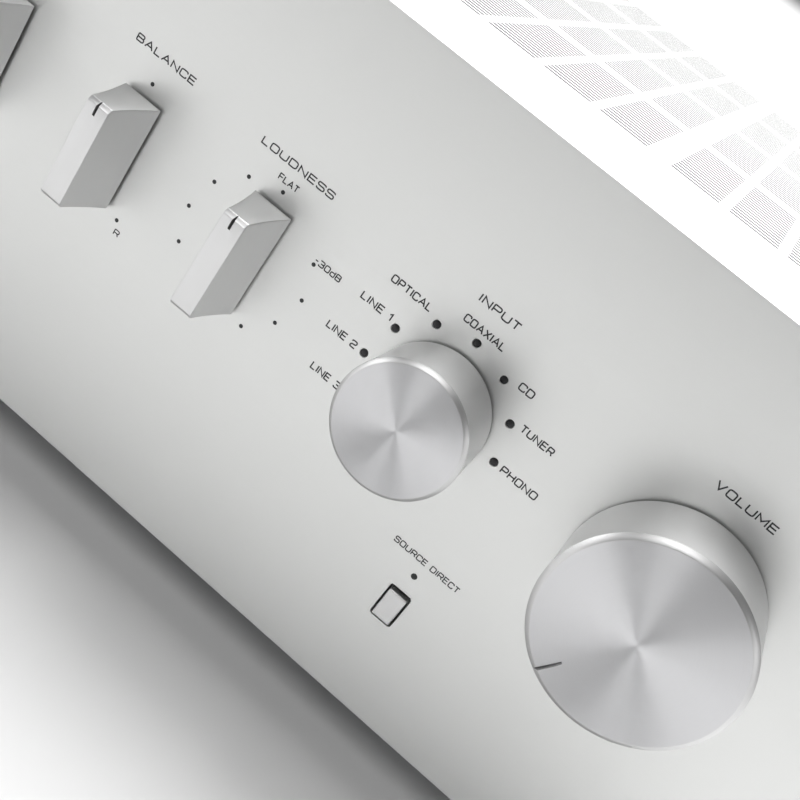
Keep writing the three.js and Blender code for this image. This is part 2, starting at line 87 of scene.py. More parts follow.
# ---- node materials ----
class Finish:
    """A Principled material in object coordinates, with helpers that wire its procedural detail."""

    def __init__(self, name, colour, metallic=0.0, roughness=0.5, **sockets):
        self.material = bpy.data.materials.new(name)
        self.material.use_nodes = True
        self.tree = self.material.node_tree
        self.shader = self.tree.nodes["Principled BSDF"]
        self.shader.inputs["Base Color"].default_value = (*colour, 1)
        self.shader.inputs["Metallic"].default_value = metallic
        self.shader.inputs["Roughness"].default_value = roughness
        for socket, value in sockets.items():
            self.shader.inputs[socket.replace("_", " ")].default_value = value
        self.place = self.tree.nodes.new("ShaderNodeTexCoord").outputs["Object"]

    def node(self, kind, **settings):
        made = self.tree.nodes.new(f"ShaderNode{kind}")
        for key, value in settings.items():
            setattr(made, key, value)
        return made

    def wire(self, source, target):
        self.tree.links.new(source, target)
        return self

    def scaled(self, scale):
        """Object coordinates in millimetres times scale, one factor for each axis."""
        mapping = self.node("Mapping")
        mapping.inputs["Scale"].default_value = [1000 * s for s in scale]
        self.wire(self.place, mapping.inputs["Vector"])
        return mapping.outputs["Vector"]

    def noise(self, scale, detail=3.0):
        made = self.node("TexNoise")
        made.inputs["Scale"].default_value = 1
        made.inputs["Detail"].default_value = detail
        self.wire(self.scaled(scale), made.inputs["Vector"])
        return made.outputs["Fac"]

    def rings(self, at, per_mm):
        """Noise that depends only on the distance from an axis along Y through at."""
        away = self.node("VectorMath", operation="SUBTRACT")
        away.inputs[1].default_value = at
        flat = self.node("VectorMath", operation="MULTIPLY")
        flat.inputs[1].default_value = (1000 * per_mm, 0, 1000 * per_mm)
        length = self.node("VectorMath", operation="LENGTH")
        made = self.node("TexNoise", noise_dimensions="1D")
        made.inputs["Scale"].default_value = 1
        self.wire(self.place, away.inputs[0])
        self.wire(away.outputs[0], flat.inputs[0])
        self.wire(flat.outputs[0], length.inputs[0])
        self.wire(length.outputs["Value"], made.inputs["W"])
        return made.outputs["Fac"]

    def cells(self, scale):
        made = self.node("TexVoronoi")
        made.inputs["Scale"].default_value = 1
        self.wire(self.scaled(scale), made.inputs["Vector"])
        return made.outputs["Color"]

    def ranged(self, source, low, high):
        made = self.node("MapRange")
        made.inputs["To Min"].default_value = low
        made.inputs["To Max"].default_value = high
        self.wire(source, made.inputs["Value"])
        return made.outputs["Result"]

    def rough(self, source, low, high):
        return self.wire(self.ranged(source, low, high), self.shader.inputs["Roughness"])

    def tint(self, source, low, high):
        ramp = self.node("ValToRGB")
        ramp.color_ramp.elements[0].position = 0.3
        ramp.color_ramp.elements[1].position = 0.7
        ramp.color_ramp.elements[0].color = (*low, 1)
        ramp.color_ramp.elements[1].color = (*high, 1)
        self.wire(source, ramp.inputs["Fac"])
        return self.wire(ramp.outputs["Color"], self.shader.inputs["Base Color"])

    def bump(self, source, strength, depth_mm):
        made = self.node("Bump")
        made.inputs["Strength"].default_value = strength
        made.inputs["Distance"].default_value = depth_mm * MM
        self.wire(source, made.inputs["Height"])
        return self.wire(made.outputs["Normal"], self.shader.inputs["Normal"])

    def spun(self, amount):
        """Highlights fan out from the middle, as on a face turned on a lathe."""
        tangent = self.node("Tangent", direction_type="RADIAL", axis="Y")
        self.shader.inputs["Anisotropic"].default_value = amount
        self.shader.inputs["Anisotropic Rotation"].default_value = 0.25
        return self.wire(tangent.outputs["Tangent"], self.shader.inputs["Tangent"])


def grey(value, warmth=0.0):
    return (value + warmth, value, value - warmth)


def panel_finish():
    made = Finish("panel_aluminium", (0.695, 0.70, 0.69), 1.0, 0.4)
    lines = made.noise((0.02, 3.0, 9.0), 2)
    return made.rough(lines, 0.36, 0.5).bump(lines, 0.05, 0.02).material


def spun_finish(name, at):
    made = Finish(f"{name}_spun_face", (0.6, 0.6, 0.61), 1.0, 0.45)
    rings = made.rings(at, 5.0)
    return made.spun(0.9).rough(rings, 0.38, 0.54).bump(rings, 0.14, 0.02).material


def turned_finish():
    made = Finish("knob_side", grey(0.80), 1.0, 0.42)
    lines = made.noise((0.3, 8.0, 0.3), 2)
    return made.rough(lines, 0.38, 0.5).bump(lines, 0.05, 0.02).material


def bevel_finish():
    made = Finish("knob_bevel", grey(0.58), 1.0, 0.4)
    return made.rough(made.noise((2.0, 2.0, 2.0)), 0.36, 0.45).material


# Painted shade: a dark copy of the knob metal for the walls of cut notches, standing in for the shade
# inside the notch
def notch_painted_shade_finish():
    made = Finish("knob_notch_painted_shade", grey(0.2), 1.0, 0.5)
    return made.rough(made.noise((2.0, 2.0, 2.0)), 0.45, 0.6).material


def grained_finish():
    made = Finish("blade_aluminium", grey(0.64), 1.0, 0.36)
    lines = made.noise((6.0, 6.0, 0.15), 2)
    return made.rough(lines, 0.32, 0.46).bump(lines, 0.05, 0.02).material


def paint_finish(name, colour, roughness):
    made = Finish(name, colour, 0.0, roughness, Coat_Weight=0.15)
    peel = made.noise((1.2, 1.2, 1.2), 2)
    return made.rough(peel, roughness - 0.06, roughness + 0.06).bump(peel, 0.08, 0.05).material


def galvanised_finish():
    made = Finish("galvanised_steel", grey(0.5), 1.0, 0.42)
    spangle = made.cells((0.12, 0.12, 0.12))
    made.tint(spangle, (0.40, 0.41, 0.42), (0.58, 0.59, 0.60))
    return made.rough(spangle, 0.36, 0.52).material


def steel_finish():
    made = Finish("turned_steel", grey(0.55), 1.0, 0.3)
    return made.rough(made.noise((0.5, 6.0, 0.5)), 0.24, 0.4).material


def moulded_finish(name, colour, roughness, grain=2.5):
    made = Finish(name, colour, 0.0, roughness)
    leather = made.noise((grain, grain, grain), 4)
    made.rough(leather, roughness - 0.08, roughness + 0.08)
    return made.bump(leather, 0.18, 0.08).material


def board_finish():
    made = Finish("circuit_board", (0.02, 0.12, 0.05), 0.0, 0.3, Coat_Weight=0.4)
    tracks = made.cells((0.16, 0.16, 0.16))
    return made.tint(tracks, (0.012, 0.075, 0.03), (0.03, 0.17, 0.07)).material


def winding_finish():
    made = Finish("enamelled_wire", (0.5, 0.2, 0.07), 0.8, 0.3)
    wave = made.node("TexWave", bands_direction="Z")
    wave.inputs["Scale"].default_value = 0.35
    made.wire(made.scaled((1, 1, 1)), wave.inputs["Vector"])
    made.tint(wave.outputs["Fac"], (0.28, 0.09, 0.03), (0.66, 0.3, 0.12))
    return made.bump(wave.outputs["Fac"], 0.5, 0.3).material


def laminated_finish():
    made = Finish("laminations", grey(0.16), 0.7, 0.5)
    sheets = made.noise((0.01, 2.2, 0.01), 1)
    made.tint(sheets, grey(0.08), grey(0.24))
    return made.bump(sheets, 0.4, 0.2).material


def gilt_finish():
    made = Finish("gilt_metal", (0.83, 0.60, 0.24), 1.0, 0.2)
    return made.rough(made.noise((1.5, 1.5, 1.5)), 0.16, 0.28).material


def nickel_finish():
    made = Finish("nickel_plate", grey(0.72, 0.01), 1.0, 0.2)
    return made.rough(made.noise((1.5, 1.5, 1.5)), 0.15, 0.28).material


def lens_finish():
    made = Finish("smoked_lens", (0.004, 0.004, 0.005), 0.0, 0.35)
    return made.rough(made.noise((3, 3, 3)), 0.3, 0.4).material


def ink_finish(name, colour):
    made = Finish(name, colour, 0.0, 0.55)
    edge = made.noise((8, 8, 8))
    return made.rough(edge, 0.48, 0.62).material


INK = ink_finish("grey_ink", (0.02, 0.021, 0.023))
WHITE_INK = ink_finish("white_ink", grey(0.75))
PANEL = panel_finish()
SIDE = turned_finish()
BEVEL = bevel_finish()
NOTCH_PAINTED_SHADE = notch_painted_shade_finish()
BLADE = grained_finish()
COVER_PAINT = paint_finish("cover_paint", grey(0.62), 0.42)
# Painted shade: dark grey on the vent slot walls and the sheet's cut edges, standing in for the shade
# inside the slots
SLOT_PAINTED_SHADE = paint_finish("slot_painted_shade", grey(0.16), 0.6)
REAR_PAINT = paint_finish("rear_paint", grey(0.025), 0.45)
GALVANISED = galvanised_finish()
STEEL = steel_finish()
BLACK = moulded_finish("black_plastic", grey(0.022), 0.42)
RUBBER = moulded_finish("foot_rubber", grey(0.018), 0.62, 1.2)
RED = moulded_finish("red_plastic", (0.45, 0.015, 0.012), 0.35)
WHITE = moulded_finish("white_plastic", grey(0.72), 0.35)
BOARD = board_finish()
WINDING = winding_finish()
LAMINATED = laminated_finish()
GILT = gilt_finish()
NICKEL = nickel_finish()
SMOKED = lens_finish()
SINK = moulded_finish("black_anodised", grey(0.03), 0.4, 5.0)
SLEEVE = moulded_finish("capacitor_sleeve", (0.012, 0.02, 0.07), 0.25, 0.6)


# ---- mesh helpers ----
def piece(name, bm, materials, body, slot, *nodes, sharp=30):
    """Ends a bmesh as a named object that rides on a body and stands for some solids."""
    mesh = bpy.data.meshes.new(name)
    bmesh.ops.recalc_face_normals(bm, faces=bm.faces)
    bm.to_mesh(mesh)
    bm.free()
    for material in materials:
        mesh.materials.append(material)
    for polygon in mesh.polygons:
        polygon.use_smooth = True
    mesh.set_sharp_from_angle(angle=math.radians(sharp))
    obj = bpy.data.objects.new(name, mesh)
    bpy.context.scene.collection.objects.link(obj)
    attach(obj, body)
    if nodes:
        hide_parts(*nodes)
    return obj


def frozen(obj):
    """Applies an object's modifiers to its mesh."""
    graph = bpy.context.evaluated_depsgraph_get()
    obj.data = bpy.data.meshes.new_from_object(obj.evaluated_get(graph))
    obj.modifiers.clear()
    return obj


def bevelled(obj, width, segments=3, limit=30):
    made = obj.modifiers.new("edges", "BEVEL")
    made.width = width
    made.segments = segments
    made.limit_method = "ANGLE"
    made.angle_limit = math.radians(limit)
    made.harden_normals = False
    return frozen(obj)


def add_turned(bm, profile, at, direction=REAR, segments=48, bands=(), ripple=(0, 0.0)):
    """Turns [radius, distance] points about an axis through at; a profile off the axis closes on itself."""
    across = UP.cross(direction) if abs(direction.z) < 0.5 else Vector((1, 0, 0))
    along = direction.cross(across)
    rings = []
    for radius, distance in profile:
        middle = at + direction * distance
        if radius == 0:
            rings.append([bm.verts.new(middle)])
            continue
        ring = []
        for i in range(segments):
            angle = 2 * math.pi * i / segments
            r = radius - ripple[1] * (0.5 - 0.5 * math.cos(ripple[0] * angle))
            ring.append(bm.verts.new(middle + (across * math.cos(angle) + along * math.sin(angle)) * r))
        rings.append(ring)
    pairs = list(zip(rings, rings[1:]))
    if len(rings[0]) > 1 and len(rings[-1]) > 1:
        pairs.append((rings[-1], rings[0]))
    for band, (a, b) in enumerate(pairs):
        for i in range(segments):
            corners = [a[i % len(a)], a[(i + 1) % len(a)], b[(i + 1) % len(b)], b[i % len(b)]]
            unique = list(dict.fromkeys(corners))
            if len(unique) < 3:
                continue
            made = bm.faces.new(unique)
            made.material_index = bands[band] if band < len(bands) else 0


def add_block(bm, low, high, material=0):
    corners = [
        bm.verts.new((x, y, z))
        for x in (low[0], high[0])
        for y in (low[1], high[1])
        for z in (low[2], high[2])
    ]
    for face in ((0, 1, 3, 2), (4, 6, 7, 5), (0, 4, 5, 1), (2, 3, 7, 6), (0, 2, 6, 4), (1, 5, 7, 3)):
        bm.faces.new([corners[i] for i in face]).material_index = material


def on_ring(at, radius, degrees):
    """The point at that many degrees clockwise from straight up, seen from the front."""
    a = math.radians(degrees)
    return Vector((at.x + radius * math.sin(a), at.y, at.z + radius * math.cos(a)))


def cut_with(obj, cutter_bm):
    """Takes a closed mesh out of an object and gives the cut walls dark metal as painted shade."""
    mesh = bpy.data.meshes.new("cutter")
    bmesh.ops.recalc_face_normals(cutter_bm, faces=cutter_bm.faces)
    cutter_bm.to_mesh(mesh)
    cutter_bm.free()
    obj.data.materials.append(NOTCH_PAINTED_SHADE)
    for material in obj.data.materials:
        mesh.materials.append(material)
    for polygon in mesh.polygons:
        polygon.material_index = len(obj.data.materials) - 1
    cutter = bpy.data.objects.new("cutter", mesh)
    bpy.context.scene.collection.objects.link(cutter)
    made = obj.modifiers.new("cut", "BOOLEAN")
    made.operation = "DIFFERENCE"
    made.solver = "EXACT"
    made.object = cutter
    frozen(obj)
    bpy.data.objects.remove(cutter)
    obj.data.set_sharp_from_angle(angle=math.radians(30))
    return obj


# ---- the camera ----
def make_camera():
    back = Vector(
        (
            math.sin(AZIMUTH) * math.cos(ELEVATION),
            -math.cos(AZIMUTH) * math.cos(ELEVATION),
            math.sin(ELEVATION),
        )
    )
    level = Vector((math.cos(AZIMUTH), math.sin(AZIMUTH), 0))
    raised = back.cross(level)
    right = level * math.cos(ROLL) + raised * math.sin(ROLL)
    up = raised * math.cos(ROLL) - level * math.sin(ROLL)
    data = bpy.data.cameras.new("camera")
    data.lens = LENS
    data.sensor_width = 36
    data.clip_start = 0.01
    camera = bpy.data.objects.new("camera", data)
    camera.matrix_world = Matrix.Translation(CAMERA_AT) @ Matrix((right, up, back)).transposed().to_4x4()
    bpy.context.scene.collection.objects.link(camera)
    bpy.context.scene.camera = camera


# ---- front panel ----
def rounded_outline(at, width, height, radius, steps=5):
    points = []
    for sx, sz, start in ((1, 1, 0), (-1, 1, 90), (-1, -1, 180), (1, -1, 270)):
        for i in range(steps + 1):
            a = math.radians(start + 90 * i / steps)
            x = at.x + sx * (width / 2 - radius) + radius * math.cos(a)
            z = at.z + sz * (height / 2 - radius) + radius * math.sin(a)
            points.append((x, z))
    return points


def circle_outline(at, radius, steps=40):
    angles = [2 * math.pi * i / steps for i in range(steps)]
    return [(at.x + radius * math.cos(a), at.z + radius * math.sin(a)) for a in angles]


def plate_with_holes(name, outlines, front, back, edge):
    """A plate in the XZ plane from the first outline, with the others as holes, and softened edges."""
    curve = bpy.data.curves.new(name, "CURVE")
    curve.dimensions = "2D"
    curve.fill_mode = "BOTH"
    curve.extrude = (back - front) / 2 - edge
    curve.bevel_depth = edge
    curve.bevel_resolution = 2
    curve.offset = -edge
    for outline in outlines:
        spline = curve.splines.new("POLY")
        spline.points.add(len(outline) - 1)
        spline.use_cyclic_u = True
        for point, (x, z) in zip(spline.points, outline):
            point.co = (x, z, 0, 1)
    holder = bpy.data.objects.new(name, curve)
    bpy.context.scene.collection.objects.link(holder)
    graph = bpy.context.evaluated_depsgraph_get()
    mesh = bpy.data.meshes.new_from_object(holder.evaluated_get(graph))
    bpy.data.objects.remove(holder)
    mesh.transform(Matrix.Translation((0, (front + back) / 2, 0)) @ Matrix.Rotation(math.pi / 2, 4, "X"))
    bm = bmesh.new()
    bm.from_mesh(mesh)
    return bm


def make_panel():
    middle = (PANEL_LOW + PANEL_HIGH) / 2
    outlines = [rounded_outline(middle, PANEL_HIGH.x - PANEL_LOW.x, PANEL_HIGH.z - PANEL_LOW.z, 0.8 * MM)]
    outlines += [circle_outline(KNOB_AT[name], 4.1 * MM) for name in ROTARIES]
    outlines.append(circle_outline(JACK_AT, 5.8 * MM))
    for name in BUTTONS:
        low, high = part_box(f"{name}_button")
        size = (high.x - low.x + 1.0 * MM, high.z - low.z + 1.6 * MM)
        outlines.append(rounded_outline(BUTTON_AT[name], *size, 0.7 * MM))
    for degrees in LED_ANGLES:
        outlines.append(circle_outline(on_ring(KNOB_AT["input"], LED_RING, degrees), 0.95 * MM, 20))
    bm = plate_with_holes("panel", outlines, PANEL_LOW.y, PANEL_HIGH.y, 0.2 * MM)
    panel = piece("panel", bm, [PANEL], "case", "panel_aluminium", "front_panel", sharp=25)
    for polygon in panel.data.polygons:
        polygon.use_smooth = abs(polygon.normal.y) < 0.999


def add_lens(bm, at, radius):
    face = PANEL_FACE + 0.05 * MM
    profile = ((0, -0.04 * MM), (radius * 0.6, 0), (radius, 0.12 * MM), (radius, 1.5 * MM), (0, 1.5 * MM))
    add_turned(bm, profile, Vector((at.x, face, at.z)), segments=24)


def make_lenses():
    bm = bmesh.new()
    for degrees in LED_ANGLES:
        add_lens(bm, on_ring(KNOB_AT["input"], LED_RING, degrees), LED_RADIUS)
    piece("input_lenses", bm, [SMOKED], "case", "lens")
    bm = bmesh.new()
    add_disc(bm, DIRECT_LED, 0.78 * MM)
    add_disc(bm, Vector((BUTTON_AT["power"].x, 0, BUTTON_AT["power"].z + 9 * MM)), 0.78 * MM)
    piece("small_lenses", bm, [SMOKED], "case", "lens")


def add_disc(bm, at, radius):
    profile = ((0, -0.05 * MM), (radius * 0.7, -0.05 * MM), (radius, 0), (radius, 0.3 * MM), (0, 0.3 * MM))
    add_turned(bm, profile, Vector((at.x, PANEL_FACE, at.z)), segments=20)


# ---- printing: a wide single-stroke face on a grid 6 high; each stroke is (corner radius, points) ----
GLYPHS = {
    "A": (4.6, [(0, [(0, 0), (2.3, 6), (4.6, 0)]), (0, [(0.9, 2), (3.7, 2)])]),
    "B": (
        4,
        [
            (1.2, [(0, 3.1), (4, 3.1), (4, 0), (0, 0)]),
            (1.2, [(0, 6), (3.8, 6), (3.8, 3.1), (2, 3.1)]),
            (0, [(0, 0), (0, 6)]),
        ],
    ),
    "C": (4, [(1.4, [(4, 1.6), (4, 0), (0, 0), (0, 6), (4, 6), (4, 4.4)])]),
    "D": (4.2, [(1.8, [(0, 6), (4.2, 6), (4.2, 0), (0, 0)]), (0, [(0, 0), (0, 6)])]),
    "E": (3.8, [(0, [(3.8, 0), (0, 0), (0, 6), (3.8, 6)]), (0, [(0, 3.1), (3.5, 3.1)])]),
    "F": (3.7, [(0, [(0, 0), (0, 6), (3.7, 6)]), (0, [(0, 3), (3.4, 3)])]),
    "G": (4.2, [(1.4, [(4.2, 4.6), (4.2, 6), (0, 6), (0, 0), (4.2, 0), (4.2, 3), (2.3, 3)])]),
    "H": (4.2, [(0, [(0, 0), (0, 6)]), (0, [(4.2, 0), (4.2, 6)]), (0, [(0, 3.1), (4.2, 3.1)])]),
    "I": (0.3, [(0, [(0.15, 0), (0.15, 6)])]),
    "K": (4, [(0, [(0, 0), (0, 6)]), (0, [(3.9, 6), (0.5, 3.1), (4, 0)])]),
    "L": (3.4, [(0, [(0, 6), (0, 0), (3.4, 0)])]),
    "M": (5, [(0, [(0, 0), (0, 6), (2.5, 1.6), (5, 6), (5, 0)])]),
    "N": (4.2, [(0, [(0, 0), (0, 6), (4.2, 0), (4.2, 6)])]),
    "O": (4.2, [(1.5, [(2.1, 0), (0, 0), (0, 6), (4.2, 6), (4.2, 0), (2.1, 0)])]),
    "P": (4, [(1.3, [(0, 6), (4, 6), (4, 2.6), (0, 2.6)]), (0, [(0, 0), (0, 6)])]),
    "R": (
        4,
        [
            (1.3, [(0, 6), (4, 6), (4, 2.7), (0, 2.7)]),
            (0, [(0, 0), (0, 6)]),
            (0, [(2.6, 2.7), (4, 0)]),
        ],
    ),
    "S": (4, [(1.2, [(0, 1.3), (0, 0), (4, 0), (4, 3.1), (0, 3.1), (0, 6), (4, 6), (4, 4.8)])]),
    "T": (4, [(0, [(0, 6), (4, 6)]), (0, [(2, 0), (2, 6)])]),
    "U": (4.2, [(1.5, [(0, 6), (0, 0), (4.2, 0), (4.2, 6)])]),
    "V": (4.4, [(0, [(0, 6), (2.2, 0), (4.4, 6)])]),
    "W": (6, [(0, [(0, 6), (1.5, 0), (3, 5), (4.5, 0), (6, 6)])]),
    "X": (4.2, [(0, [(0, 0), (4.2, 6)]), (0, [(0, 6), (4.2, 0)])]),
    "d": (3.6, [(1.2, [(3.6, 4), (0, 4), (0, 0), (3.6, 0)]), (0, [(3.6, 0), (3.6, 6)])]),
    "0": (4, [(1.5, [(2, 0), (0, 0), (0, 6), (4, 6), (4, 0), (2, 0)])]),
    "1": (1.6, [(0, [(0, 4.6), (1.6, 6), (1.6, 0)])]),
    "2": (4, [(1.3, [(0, 4.7), (0, 6), (4, 6), (4, 3.2), (0, 2.6), (0, 0)]), (0, [(0, 0), (4, 0)])]),
    "3": (
        4,
        [
            (1.2, [(0, 6), (4, 6), (4, 3.1), (1.2, 3.1)]),
            (1.2, [(1.2, 3.1), (4, 3.1), (4, 0), (0, 0), (0, 1.2)]),
        ],
    ),
    "+": (3, [(0, [(0, 3), (3, 3)]), (0, [(1.5, 1.5), (1.5, 4.5)])]),
    "-": (2.4, [(0, [(0, 3), (2.4, 3)])]),
    " ": (2, []),
}
LETTER_GAP = 1.5


def rounded_stroke(radius, points):
    """A polyline with its inner corners turned into short arcs."""
    points = [Vector(p) for p in points]
    if not radius:
        return points
    made = [points[0]]
    for before, corner, after in zip(points, points[1:], points[2:]):
        into, out = (before - corner), (after - corner)
        reach_in = min(radius, into.length * 0.5)
        reach_out = min(radius, out.length * 0.5)
        a, b = corner + into.normalized() * reach_in, corner + out.normalized() * reach_out
        made += [a.lerp(corner, t).lerp(corner.lerp(b, t), t) for t in (0, 0.25, 0.5, 0.75, 1)]
    return made + [points[-1]]


def add_ribbon(bm, points, width, place):
    """A flat band along a polyline, as a thin closed solid; place(x, z, raised) gives its position."""
    sides = []
    for i, point in enumerate(points):
        before = (point - points[i - 1]).normalized() if i else None
        after = (points[i + 1] - point).normalized() if i + 1 < len(points) else None
        along = ((before or after) + (after or before)).normalized()
        normal = Vector((-along.y, along.x))
        straight = (after or before)
        grow = 1 / max(0.5, abs(normal.dot(Vector((-straight.y, straight.x)))))
        sides.append([point + normal * width * 0.5 * grow, point - normal * width * 0.5 * grow])
    rows = []
    for left, right in sides:
        rows.append([bm.verts.new(place(p, raised)) for raised in (True, False) for p in (left, right)])
    for a, b in zip(rows, rows[1:]):
        for i, j in ((0, 1), (1, 3), (3, 2), (2, 0)):
            bm.faces.new((a[i], a[j], b[j], b[i]))
    for end in (rows[0], rows[-1]):
        bm.faces.new((end[0], end[1], end[3], end[2]))


def add_text(bm, words, x0, x1, base, height, face, towards):
    """Printed words between two positions on a face that looks to -Y (towards 1) or +Y (towards -1)."""
    advance, strokes = 0.0, []
    for letter in words:
        width, parts = GLYPHS[letter]
        for radius, points in parts:
            strokes.append([p + Vector((advance, 0)) for p in rounded_stroke(radius, points)])
        advance += width + LETTER_GAP
    unit = Vector(((x1 - x0) / (advance - LETTER_GAP), height / 6))
    thick = 0.2 * height

    def place(p, raised):
        x = x0 + p.x if towards > 0 else x1 - p.x
        return (x, face - towards * (0.03 * MM if raised else 0.0), base + p.y)

    for stroke in strokes:
        add_ribbon(bm, [Vector((p.x * unit.x, p.y * unit.y)) for p in stroke], thick, place)


def make_panel_printing():
    bm = bmesh.new()

    def words(text, x0, x1, base, height=1.55):
        add_text(bm, text, x0 * MM, x1 * MM, base * MM, height * MM, PANEL_FACE, 1)

    def centred(text, middle, width, base, height=1.55):
        words(text, middle / MM - width / 2, middle / MM + width / 2, base, height)

    for name, width in zip(TONES, (9.4, 14.2, 16.5, 19.7)):
        centred(name.upper(), KNOB_AT[name].x, width, 111.1)
    centred("INPUT", KNOB_AT["input"].x, 10.2, 114.6, 1.65)
    centred("VOLUME", KNOB_AT["volume"].x, 14.7, 115.8, 1.7)
    centred("FLAT", KNOB_AT["loudness"].x, 5.2, 107.2, 1.35)
    words("-30dB", 63.9, 70.8, 97.7, 1.35)
    for text, x0, x1, base in (
        ("COAXIAL", 97.0, 107.4, 109.2),
        ("OPTICAL", 79.8, 90.2, 105.7),
        ("LINE 1", 76.5, 84.5, 98.4),
        ("LINE 2", 73.9, 81.8, 88.1),
        ("LINE 3", 76.2, 84.0, 78.0),
        ("CD", 114.6, 118.1, 105.2),
        ("TUNER", 120.3, 128.6, 98.2),
        ("PHONO", 122.5, 131.8, 88.1),
    ):
        words(text, x0, x1, base, 1.6)
    centred("SOURCE DIRECT", BUTTON_AT["pure_direct"].x + 0.5 * MM, 18.1, 58.8, 1.35)
    for name, left, right in (("balance", "L", "R"), ("bass", "-", "+"), ("treble", "-", "+")):
        for text, side in ((left, -1), (right, 1)):
            centred(text, KNOB_AT[name].x + side * 9.7 * MM, 1.3 if text != "-" else 0.8, 71.4, 1.35)
    centred("POWER", BUTTON_AT["power"].x, 11.0, 57.6)
    centred("PHONES", JACK_AT.x, 12.6, 57.6)
    centred("SPEAKERS", KNOB_AT["speakers"].x, 17.4, 63.6)
    for text, degrees in (("OFF", -45), ("A", -15), ("B", 15), ("A+B", 45)):
        at = on_ring(KNOB_AT["speakers"], 15.0 * MM, degrees)
        shift = 1.6 * MM * (1 if degrees > 15 else -1 if degrees < -15 else 0)
        centred(text, at.x + shift, 1.9 * len(text), at.z / MM - 0.5, 1.35)
        add_disc(bm, on_ring(KNOB_AT["speakers"], 12.2 * MM, degrees), 0.4 * MM)
    for i in range(11):
        add_disc(bm, on_ring(KNOB_AT["loudness"], TONE_RING, -30 * i), DOT_RADIUS)
    for name in TONES[:3]:
        for degrees in (-150, 0, 150):
            add_disc(bm, on_ring(KNOB_AT[name], TONE_RING, degrees), DOT_RADIUS)
    piece("panel_printing", bm, [INK], "case", "lens")


# ---- knobs and buttons ----
def make_round_knob(name, face_edge, bevel_drop, roundness, segments=128):
    low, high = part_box(f"{name}_knob")
    at = Vector((KNOB_AT[name].x, low.y, KNOB_AT[name].z))
    rim = (high.x - low.x) / 2
    deep = high.y - low.y
    back = rim - 0.6 * MM
    profile = (
        (0, 0),
        (rim * 0.5, 0),
        (rim - face_edge, 0),
        (rim - face_edge + 0.12 * MM, 0.03 * MM),
        (rim - roundness, bevel_drop - roundness * 0.4),
        (rim, bevel_drop + roundness * 0.5),
        (back + 0.25 * MM, deep * 0.6),
        (back, deep - 0.25 * MM),
        (back - 0.25 * MM, deep),
        (back - 2.2 * MM, deep),
        (back - 2.2 * MM, deep - 3 * MM),
        (0, deep - 3 * MM),
    )
    bands = (0, 0, 1, 1, 1, 2, 2, 2, 2, 2, 2)
    bm = bmesh.new()
    add_turned(bm, profile, at, segments=segments, bands=bands)
    return piece(
        f"{name}_dial",
        bm,
        [spun_finish(name, KNOB_AT[name]), BEVEL, SIDE],
        name,
        "knob_aluminium",
        f"{name}_knob",
        sharp=35,
    )


def notch(at, inner, outer, width, depth, degrees):
    """A V groove cut into a face from one radius out to another."""
    bm = bmesh.new()
    a = math.radians(degrees)
    out = Vector((math.sin(a), 0, math.cos(a)))
    side = Vector((math.cos(a), 0, -math.sin(a)))
    ends = []
    for radius, sink in ((inner, depth * 0.25), (outer, depth)):
        middle = at + out * radius
        ends.append(
            [
                bm.verts.new(middle + side * width + FRONT * 0.2 * MM),
                bm.verts.new(middle - side * width + FRONT * 0.2 * MM),
                bm.verts.new(middle + REAR * sink),
            ]
        )
    a_end, b_end = ends
    bm.faces.new(a_end)
    bm.faces.new(b_end)
    for i in range(3):
        bm.faces.new((a_end[i], a_end[(i + 1) % 3], b_end[(i + 1) % 3], b_end[i]))
    return bm


def make_dials():
    volume = make_round_knob("volume", 1.3 * MM, 1.0 * MM, 0.12 * MM, 160)
    at = KNOB_AT["volume"].copy()
    at.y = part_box("volume_knob")[0].y
    cut_with(volume, notch(at, 15.9 * MM, 24 * MM, 0.55 * MM, 0.8 * MM, -149))
    make_round_knob("input", 1.0 * MM, 0.85 * MM, 0.1 * MM)
    speakers = make_round_knob("speakers", 0.6 * MM, 0.5 * MM, 0.08 * MM, 96)
    at = KNOB_AT["speakers"].copy()
    at.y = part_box("speakers_knob")[0].y
    cut_with(speakers, notch(at, 4.5 * MM, 11 * MM, 0.4 * MM, 0.6 * MM, -45))


def make_blade(name):
    """A grip with a narrow face, hollowed flanks, and a chamfer where each end meets the face."""
    low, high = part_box(f"{name}_knob")
    at = KNOB_AT[name]
    deep = high.y - low.y
    base_half = (high.x - low.x) / 2
    face_half = 2.8 * MM
    control = (base_half + face_half) / 2 - 0.7 * MM
    face_length, base_length = 12.5 * MM, (high.z - low.z) / 2
    steps = 14
    levels = ((-1.0, 0.94), (-0.93, 1.0), (-0.4, 1.0), (0.4, 1.0), (0.93, 1.0), (1.0, 0.94))

    def half_width(t):
        return (1 - t) ** 2 * base_half + 2 * t * (1 - t) * control + t * t * face_half

    bm = bmesh.new()
    rows = []
    for level, reach in levels:
        row = []
        for side in (-1, 1):
            for i in range(steps + 1):
                t = reach * (i / steps if side < 0 else 1 - i / steps)
                length = base_length + (face_length - base_length) * t
                x = at.x + side * half_width(t)
                row.append(bm.verts.new((x, high.y - t * deep, at.z + level * length)))
        rows.append(row)
    count = len(rows[0])
    for a, b in zip(rows, rows[1:]):
        for i in range(count):
            bm.faces.new((a[i], a[(i + 1) % count], b[(i + 1) % count], b[i]))
    bm.faces.new(rows[0])
    bm.faces.new(rows[-1])
    obj = piece(f"{name}_blade", bm, [BLADE], name, "knob_aluminium", f"{name}_knob")
    bevelled(obj, 0.16 * MM, 3, 25)
    top = Vector((at.x, low.y, at.z))
    cut_with(obj, notch(top, 9.3 * MM, 15 * MM, 0.45 * MM, 1.7 * MM, 0))


